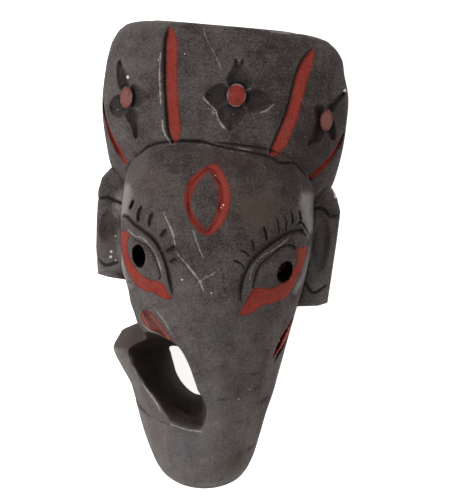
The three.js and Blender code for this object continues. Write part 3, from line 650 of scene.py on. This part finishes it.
print("working out the solid")
cubeX, cubeY, cubeZ = gridX[:, None, None], gridY[None, :, None], gridZ[None, None, :]
cutZ = cubeZ + lowered[..., None]
solid = bodyField(block["head"], cubeX, cubeY, cutZ)
solid = np.maximum(solid, -ruledField(*trunkGap["notch"]))
solid = np.minimum(solid, bodyField(block["crown"], cubeX, cubeY, cutZ))
for name in ("left", "right"):
    solid = np.minimum(solid, earField(ears[name], cubeZ))
solid = np.maximum(solid, -cubeZ)
# Scoops of a round gouge in the hollow: waves over x and over y, each with its sway.
gouge = {"depth": 0.45, "inset": 0.5, "overX": (0.62, 1.3, 0.11), "overY": (0.41, 0.9, 0.17)}
(waveX, swayX, slowX), (waveY, swayY, slowY) = gouge["overX"], gouge["overY"]
scoops = gouge["depth"] * np.cos(cubeX * waveX + swayX * np.sin(cubeY * slowX))
scoops = scoops * np.cos(cubeY * waveY + swayY * np.sin(cubeX * slowY))
hollowField = bodyField(block["hollow"], cubeX, cubeY, cubeZ, block["hollowBack"])
solid = np.maximum(solid, -hollowField - gouge["inset"] + scoops)
solid = np.maximum(solid, -ruledField(*trunkGap["gap"]))
solid = np.maximum(solid, -ruledField(*trunkGap["mouth"], fromHeight=trunkGap["mouth"][0]))
for eye in (leftEye, rightEye):
    solid = np.maximum(solid, -pupilField(eye, cubeX, cubeY, cubeZ))


# how far round each node the edge field looks: pale wear on edges, painted shade in grooves
wornReach = 1.2


# The mean of a field in a cube that reaches this far round each node. On the surface it is above
# nothing on a worn edge and below it in a groove.
def cubeMean(field, reach):
    mean = np.clip(field, -fieldBand, fieldBand).astype(np.float32)
    size = max(1, round(reach / block["pitch"]))
    for axis in range(3):
        padded = np.pad(mean, [(size + 1, size) if a == axis else (0, 0) for a in range(3)], mode="edge")
        total = np.cumsum(padded, axis=axis, dtype=np.float32)
        count = mean.shape[axis]
        high = np.take(total, np.arange(2 * size + 1, 2 * size + 1 + count), axis=axis)
        low = np.take(total, np.arange(0, count), axis=axis)
        mean = (high - low) / (2 * size + 1)
    return mean


def sampleCube(field, points):
    index = (points - [gridX[0], gridY[0], gridZ[0]]) / block["pitch"]
    index = np.clip(index, 0, np.array(field.shape) - 1.001)
    base = index.astype(int)
    rest = index - base
    value = np.zeros(len(points))
    for dx, dy, dz in np.ndindex(2, 2, 2):
        weight = np.abs(1 - dx - rest[:, 0]) * np.abs(1 - dy - rest[:, 1]) * np.abs(1 - dz - rest[:, 2])
        value += weight * field[base[:, 0] + dx, base[:, 1] + dy, base[:, 2] + dz]
    return value


def makeMesh(name, field):
    volume = openvdb.FloatGrid(fieldBand)
    volume.copyFromArray(np.ascontiguousarray(np.clip(field, -fieldBand, fieldBand), dtype=np.float32))
    points, _, quads = volume.convertToPolygons(isovalue=0.0, adaptivity=0.0)
    points = points * block["pitch"] + [gridX[0], gridY[0], gridZ[0]]
    mesh = bpy.data.meshes.new(name)
    mesh.from_pydata((points * mm).tolist(), [], quads[:, ::-1].tolist())
    mesh.update()
    return mesh


maskPiece = addObject("carvedMask", makeMesh("mask", solid))
print("dense mesh", len(maskPiece.data.vertices), len(maskPiece.data.polygons))
edgeField = cubeMean(solid, wornReach)
front["height"] = baseHeight - lowered
front["line"], front["lineStrength"] = np.full(flatX.shape, far), np.zeros(flatX.shape)
for walk, strength in rubbedLines:
    offset = walkOffset(smoothWalk(walk), flatX, flatY)
    nearer = np.abs(offset) < np.abs(front["line"])
    strong = strength * np.clip(lineReach - np.abs(offset), 0, 1)
    front["line"] = np.where(nearer, offset, front["line"])
    front["lineStrength"] = np.where(nearer, strong, front["lineStrength"])


# The lie of tone and warmth seen from the front, with painted shade in the tone's fall to the right
# and up.
def toneFlats():
    (left, right, toRight), (low, high, upward) = toneLie["right"], toneLie["up"]
    tone = toneLie["start"] - toRight * np.clip((flatX - left) / (right - left), 0, 1)
    tone -= upward * np.clip((flatY - low) / (high - low), 0, 1)
    warm = np.zeros(flatX.shape)
    for (x, y), half, paler, browner in patches:
        share = np.exp(-((flatX - x) / half[0]) ** 2 - ((flatY - y) / half[1]) ** 2)
        tone, warm = tone + paler * share, warm + browner * share
    return tone, warm


front["tone"], front["warm"] = toneFlats()


def meshVectors(items, name):
    values = np.zeros(len(items) * 3, np.float32)
    items.foreach_get(name, values)
    return values.reshape(-1, 3)


# What the numbers below go by, in millimetres. A place is on the front if it is no deeper than this
# below it, and on an ear if it is this far out and between these two heights of y.
reading = {
    "front": 3.5,
    "offFront": -5,
    "ears": (61.5, -26, 58),
    "rim": {"tilt": -0.6, "below": 2, "bare": 2.0, "from": 1.0},
    "hollowBare": 1.2,
    # inside the pupil holes the walls get painted shade
    "pupils": {"stain": 4, "fall": 3, "depth": 1, "reach": 12, "from": 4, "bare": -3},
    "deepStain": 0.6,
    "bevelFrom": 30,
    "lineMost": 4,
}


# The numbers the material reads: how deep inside the paint, the bare wood and so on, in millimetres.
def readNumbers(mesh):
    points, normals = meshVectors(mesh.vertices, "co") / mm, meshVectors(mesh.vertex_normals, "vector")
    x, y, z = points.T
    flat = {name: sampleFlat(grid, x, y) for name, grid in front.items()}
    below = flat["height"] - z
    onFront = below < reading["front"]
    earFrom, earLow, earHigh = reading["ears"]
    onEar = (np.abs(x) > earFrom) & (y < earHigh) & (y > earLow)
    # painted shade: below the front, on the walls of deep cuts and on the sides, the tone is darker and
    # warmer and the dark layer is stronger
    deepFrom, deepOver, darker = toneLie["deep"]
    deep = np.where(onEar, 0, np.clip((below - deepFrom) / deepOver, 0, 1))
    rim, hole, off = reading["rim"], reading["pupils"], reading["offFront"]
    inHollow = reading["hollowBare"] - sampleCube(hollowField, points)
    bare = np.where((normals[:, 2] < rim["tilt"]) & (z < rim["below"]), rim["bare"],
                    np.where(onFront, off, inHollow))
    pupils = np.minimum(pupilField(leftEye, x, y, z), pupilField(rightEye, x, y, z))
    bare = np.where((pupils < hole["reach"]) & (z > hole["from"]), hole["bare"], bare)
    stainHere = np.where(onFront, flat["stained"], 0)
    # painted shade on the walls inside the pupil holes, darker further in, where no light gets in
    stainHole = np.where(below > hole["depth"], hole["stain"] - hole["fall"] * pupils, 0)
    most = reading["lineMost"]
    return {
        "paint": np.where(onFront, flat["paint"], off),
        "faded": np.where(onFront, flat["faded"], off),
        "stained": np.maximum(np.maximum(stainHere, reading["deepStain"] * deep), stainHole),
        "line": np.where(onFront, np.clip(flat["line"], -most, most), most),
        "lineStrength": np.where(onFront, flat["lineStrength"], 0),
        "bevel": np.where(onFront & (z > reading["bevelFrom"]), flat["bevel"], off),
        "tone": flat["tone"] - darker * deep - np.where(onEar, toneLie["ears"], 0),
        "warm": flat["warm"] + toneLie["deepWarm"] * deep,
        "edge": sampleCube(edgeField, points),
        "bare": np.maximum(rim["from"] - z, bare),
    }


# The mesh stays fine this near to the paint's outline and to rubbed lines, and on edges and grooves
# sharper than this and higher than this.
thinning = {"triangles": 190000, "paint": 0.7, "line": 0.8, "edge": 0.1, "above": 30}


# Thins the mesh where nothing is drawn on it.
def thinMesh(piece):
    numbers = readNumbers(piece.data)
    sharp = np.abs(numbers["edge"]) > thinning["edge"]
    keep = ((np.abs(numbers["paint"]) < thinning["paint"]) | (np.abs(numbers["line"]) < thinning["line"])
            | (sharp & (meshVectors(piece.data.vertices, "co")[:, 2] / mm > thinning["above"])))
    print("kept fine", int(keep.sum()), "of", len(keep))
    group = piece.vertex_groups.new(name="thin")
    group.add(np.nonzero(~keep)[0].tolist(), 1.0, "REPLACE")
    count = sum(len(f.vertices) - 2 for f in piece.data.polygons)
    modifier = piece.modifiers.new("thin", "DECIMATE")
    modifier.ratio = min(1.0, thinning["triangles"] / count)
    modifier.vertex_group = group.name
    depsgraph = bpy.context.evaluated_depsgraph_get()
    made = bpy.data.meshes.new_from_object(piece.evaluated_get(depsgraph))
    piece.modifiers.clear()
    piece.vertex_groups.clear()
    piece.data = made
    made.name = "mask"


thinMesh(maskPiece)
maskMesh = maskPiece.data
print("thinned mesh", len(maskMesh.vertices), len(maskMesh.polygons))
for polygon in maskMesh.polygons:
    polygon.use_smooth = True
numbers = readNumbers(maskMesh)
for name, values in numbers.items():
    attribute = maskMesh.attributes.new(name, "FLOAT", "POINT")
    attribute.data.foreach_set("value", np.ascontiguousarray(values, dtype=np.float32))


def linear(hexColour):
    parts = [int(hexColour[i:i + 2], 16) / 255 for i in (1, 3, 5)]
    return tuple(p / 12.92 if p <= 0.04045 else ((p + 0.055) / 1.055) ** 2.4 for p in parts) + (1.0,)


# Adds a node, sets or links its sockets and gives back one of its outputs.
def addNode(tree, kind, sockets=None, output=0, **settings):
    node = tree.nodes.new("ShaderNode" + kind)
    for name, value in settings.items():
        setattr(node, name, value)
    for socket, value in (sockets or {}).items():
        if isinstance(value, bpy.types.NodeSocket):
            tree.links.new(value, node.inputs[socket])
        else:
            node.inputs[socket].default_value = value
    return None if output is None else node.outputs[output]


# Black-grey stain on carved softwood: matt and dusty, greyer to the left and down the trunk, partly
# its own and partly painted light from the left, nearly black in the cuts, where it is stain with
# painted shade. The steep side faces carry a painted highlight. Red milk paint is chalky, with dark
# stain showing through. The back is bare wood.
finish = {
    "stainDark": "#322a29",
    "stainGrey": "#706b68",
    "stainBrown": "#47382f",
    "stainBlue": "#50525b",
    "cut": "#1b1716",
    "worn": "#9a9590",
    "chalk": "#b0aba4",
    "red": "#7f3027",
    "redDark": "#4c201d",
    "pink": "#74504a",
    "bareWood": "#b79a78",
    "bareDark": "#8a6a4a",
    "chip": "#d8cfc0",
    "roughness": 0.8,
    "specular": 0.12,
    "index": 1.45,
    "bump": (0.5, 0.0003),  # strength, and height in metres
    "lineHalf": 0.9,
    "chipWobble": 0.8,
    "dots": 6,  # distance between dots, and the grain's fineness, in millimetres
    "grain": (2.2, 40, 2.2),
    "grainDetail": 4.0,
}
# Layers of colour: where each begins and ends along the value it goes by, and how much it covers.
layers = {
    "grey": ("stainGrey", 0, 1, 1.0), "black": ("cut", -0.1, -1.0, 0.8),
    "brown": ("stainBrown", 0.15, 0.9, 0.75), "blue": ("stainBlue", -0.2, -0.6, 0.4),
    # the steep side faces get a painted highlight; stain pools in cuts together with painted shade
    "bevel": ("worn", -1.4, 2.4, 0.45), "pooled": ("cut", 0.1, 2.8, 0.88),
    # the dark layers by the edge field over the stain and over the red are painted shade in concave places
    "groove": ("cut", -0.06, -0.26, 0.8), "red": ("red", 0.2, 0.45, 1.0), "thin": ("pink", 0.5, 0.85, 0.35),
    "faded": ("pink", -0.5, 0.5, 0.85), "redGroove": ("redDark", -0.1, -0.4, 0.7),
    "redRim": ("redDark", 1.3, 0.1, 0.6), "painted": (None, -0.12, 0.15, 1.0),
    "edges": ("worn", 0.42, 0.62, 0.42), "lines": ("chalk", 0.15, 0.85, 0.6),
    "dots": ("chalk", 0.06, 0.03, 0.4), "chips": ("chip", 0.4, 0.6, 0.85), "grain": ("bareWood", 0, 1, 1.0),
    "bare": (None, 0, 0.7, 1.0),
}


# Lays colours over one another, each by its own value. A layer that names no colour lays the one given.
def layColours(tree, colour, given=None, **values):
    for layer, value in values.items():
        name, low, high, most = layers[layer]
        run = {"Value": value, "From Min": low, "From Max": high, "To Max": most}
        above = linear(finish[name]) if name else given
        colour = addNode(tree, "Mix", {0: addNode(tree, "MapRange", run), 6: colour, 7: above}, 2,
                         data_type="RGBA")
    return colour


# How far inside the nearest chip of the front a place is, in millimetres.
def chipInside(tree, place):
    flat = addNode(tree, "VectorMath", {0: place, 1: (1, 1, 0)}, operation="MULTIPLY")
    best = -far
    for x, y, radius in chips:
        away = addNode(tree, "VectorMath", {0: flat, 1: (x * mm, y * mm, 0)}, 1, operation="DISTANCE")
        inside = addNode(tree, "Math", {0: away, 1: -1 / mm, 2: radius}, operation="MULTIPLY_ADD")
        best = addNode(tree, "Math", {0: best, 1: inside}, operation="MAXIMUM")
    return best


# Noises by the size of their spots in millimetres, with detail and roughness.
noises = {
    "patches": (40, 3.0, 0.6), "spots": (12, 3.0, 0.6), "wobble": (3.5, 3.0, 0.5), "grit": (1.4, 2.0, 0.6),
    "fine": (0.7, 1.0, 0.5),
}


def stainedWood():
    material = bpy.data.materials.new("stainedCarvedWood")
    material.use_nodes = True
    tree = material.node_tree
    tree.nodes.clear()
    place = addNode(tree, "TexCoord", output="Object")
    noise = {
        name: addNode(tree, "TexNoise", {"Vector": place, "Scale": 1000 / size, "Detail": detail,
                                         "Roughness": roughness})
        for name, (size, detail, roughness) in noises.items()
    }
    read = {name: addNode(tree, "Attribute", output="Fac", attribute_name=name) for name in numbers}

    # a value plus so much of each noise, counted from the noise's middle
    def shaken(value, **amounts):
        for name, much in amounts.items():
            lifted = addNode(tree, "Math", {0: value, 1: -much / 2}, operation="ADD")
            value = addNode(tree, "Math", {0: noise[name], 1: much, 2: lifted}, operation="MULTIPLY_ADD")
        return value

    # tone: from dark to grey, with broad patches, spots and grit in it, and painted shade that darkens
    # it to the right and up; stain pools in cuts and grooves, and painted shade darkens the deep walls,
    # the sides and the concave places
    tone = shaken(read["tone"], patches=0.6, spots=0.8, grit=0.75, fine=0.45)
    warm = shaken(read["warm"], spots=0.8, patches=0.5)
    stain = layColours(
        tree, linear(finish["stainDark"]), grey=tone, black=tone, brown=warm, blue=warm,
        # painted highlight on the steep side faces, and pooled stain with painted shade
        bevel=shaken(read["bevel"], spots=5.0, grit=2.0), pooled=shaken(read["stained"], wobble=0.9),
        groove=shaken(read["edge"], wobble=0.1))
    # red paint, rubbed thin, with painted shade where it lies in concave places
    paint = shaken(read["paint"], wobble=0.9, grit=0.6)
    red = layColours(
        tree, linear(finish["redDark"]), red=shaken(noise["fine"], wobble=0.5),
        thin=shaken(noise["spots"], grit=0.5), faded=read["faded"], redGroove=read["edge"],
        redRim=shaken(paint, spots=1.4))
    # rubbed edges, broken into stretches, chalky lines, which on lit rims are partly painted highlight,
    # and chips
    across = shaken(addNode(tree, "Math", {0: read["line"]}, operation="ABSOLUTE"), wobble=1.2)
    line = addNode(tree, "MapRange", {"Value": across, "From Min": finish["lineHalf"], "From Max": 0.0})
    line = shaken(line, spots=1.6, grit=0.9)
    line = addNode(tree, "Math", {0: line, 1: read["lineStrength"]}, operation="MULTIPLY")
    dots = addNode(tree, "TexVoronoi", {"Vector": place, "Scale": 1000 / finish["dots"]}, "Distance")
    chip = addNode(tree, "Math", {0: noise["grit"], 1: finish["chipWobble"], 2: chipInside(tree, place)},
                   operation="MULTIPLY_ADD")
    colour = layColours(
        tree, stain, red, painted=paint, edges=shaken(read["edge"], spots=0.9, grit=0.4), lines=line,
        dots=shaken(dots, spots=0.05), chips=chip)
    # bare wood behind
    fineness = tuple(1000 / size for size in finish["grain"])
    grain = addNode(tree, "Mapping", {"Vector": place, "Scale": fineness})
    grain = addNode(tree, "TexNoise", {"Vector": grain, "Scale": 1.0, "Detail": finish["grainDetail"]})
    wood = layColours(tree, linear(finish["bareDark"]), grain=grain)
    colour = layColours(tree, colour, wood, bare=shaken(read["bare"], wobble=3.0))
    strength, rise = finish["bump"]
    height = shaken(noise["fine"], grit=2.0, wobble=4.0)
    bump = addNode(tree, "Bump", {"Strength": strength, "Distance": rise, "Height": height})
    shader = addNode(tree, "BsdfPrincipled", {
        "Base Color": colour, "Normal": bump, "Roughness": finish["roughness"], "IOR": finish["index"],
        "Specular IOR Level": finish["specular"],
    })
    addNode(tree, "OutputMaterial", {"Surface": shader}, None)
    return material


maskMesh.materials.append(stainedWood())
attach(maskPiece, "root")
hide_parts("mask")

studio = {
    "floor": "#f6f5f3",
    "floorHalf": 3.0,
    "floorGlow": 0.95,
    "floorRoughness": 0.8,
    "shaded": (-0.05, -0.036, 0.05, 0.11),  # under the hollow no light gets in
    "world": 0.45,
    "lights": [((-0.9, 0.3, 1.1), 1.0, 15.5), ((0.5, -0.6, 1.3), 1.6, 5.0)],
}


def floorMaterial(name, glow):
    material = bpy.data.materials.new(name)
    material.use_nodes = True
    pale = linear(studio["floor"])
    for name, value in (("Base Color", pale), ("Roughness", studio["floorRoughness"]),
                        ("Emission Color", pale), ("Emission Strength", glow)):
        material.node_tree.nodes["Principled BSDF"].inputs[name].default_value = value
    return material


# A light tent: a pale floor that glows a little, a soft sky, a large lamp on the left and a weak one.
def makeStudio():
    half = studio["floorHalf"]
    left, low, right, high = studio["shaded"]
    corners = [(-half, -half, 0), (half, -half, 0), (half, half, 0), (-half, half, 0),
               (left, low, 0), (right, low, 0), (right, high, 0), (left, high, 0)]
    faces = [(0, 1, 5, 4), (1, 2, 6, 5), (2, 3, 7, 6), (3, 0, 4, 7), (4, 5, 6, 7)]
    mesh = bpy.data.meshes.new("floor")
    mesh.from_pydata(corners, [], faces)
    mesh.materials.append(floorMaterial("paleFloor", studio["floorGlow"]))
    mesh.materials.append(floorMaterial("shadedFloor", 0.0))
    mesh.polygons[4].material_index = 1
    addObject("floor", mesh)
    world = bpy.data.worlds.new("softbox")
    world.use_nodes = True
    sky = world.node_tree.nodes["Background"].inputs
    sky["Color"].default_value = (1, 1, 1, 1)
    sky["Strength"].default_value = studio["world"]
    bpy.context.scene.world = world
    for count, (place, size, power) in enumerate(studio["lights"]):
        data = bpy.data.lights.new("lamp%d" % count, "AREA")
        data.size = size
        data.energy = power
        light = addObject("lamp%d" % count, data)
        light.location = place
        light.rotation_euler = (-Vector(place)).to_track_quat("-Z", "Y").to_euler()


makeStudio()
bpy.context.scene.view_settings.view_transform = "Standard"
